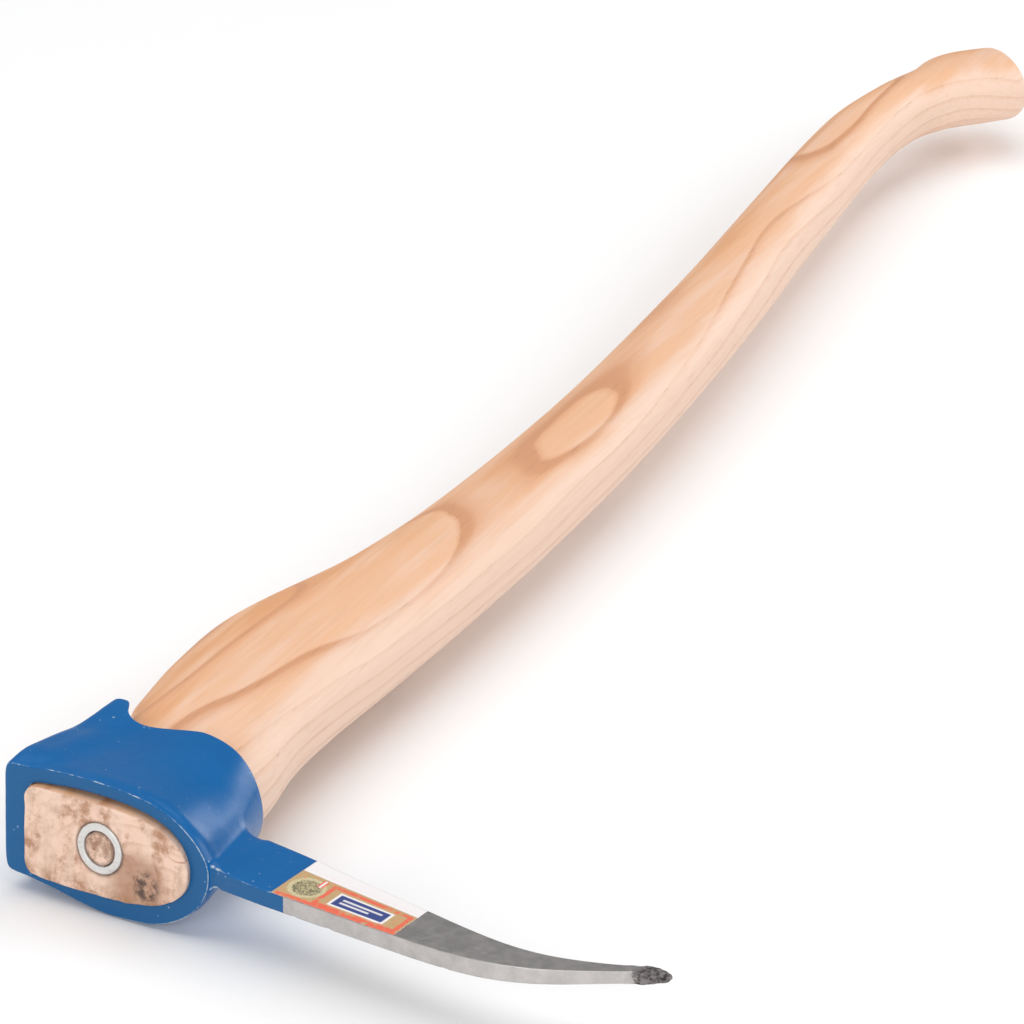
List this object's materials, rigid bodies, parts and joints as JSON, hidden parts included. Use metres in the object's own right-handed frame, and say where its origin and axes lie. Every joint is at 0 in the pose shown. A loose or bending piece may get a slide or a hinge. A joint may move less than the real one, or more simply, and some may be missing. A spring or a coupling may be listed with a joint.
{
  "type": "timber pick",
  "caption": "Long-handled log pick: forged steel head with one curved pick, curved ash handle wedged in the eye by a steel ring.",
  "frame": {"origin": "middle of the flat poll face of the head", "axes": "+X from the poll towards the pick's tip, +Y along the handle towards the knob, +Z square to both, up when the tool lies on its cheek"},
  "size_m": [0.4173, 0.8721, 0.0514],
  "materials": {
    "painted_steel": "gloss blue enamel on forged steel, ground bare on the pick",
    "ash_wood": "sanded and lightly oiled",
    "bright_steel": "cut and deburred",
    "label_paper": "printed, slightly glossy"
  },
  "bodies": {
    "root": {"head": "painted_steel", "handle": "ash_wood", "ring_wedge": "bright_steel", "label": "label_paper"}
  },
  "joints": []
}
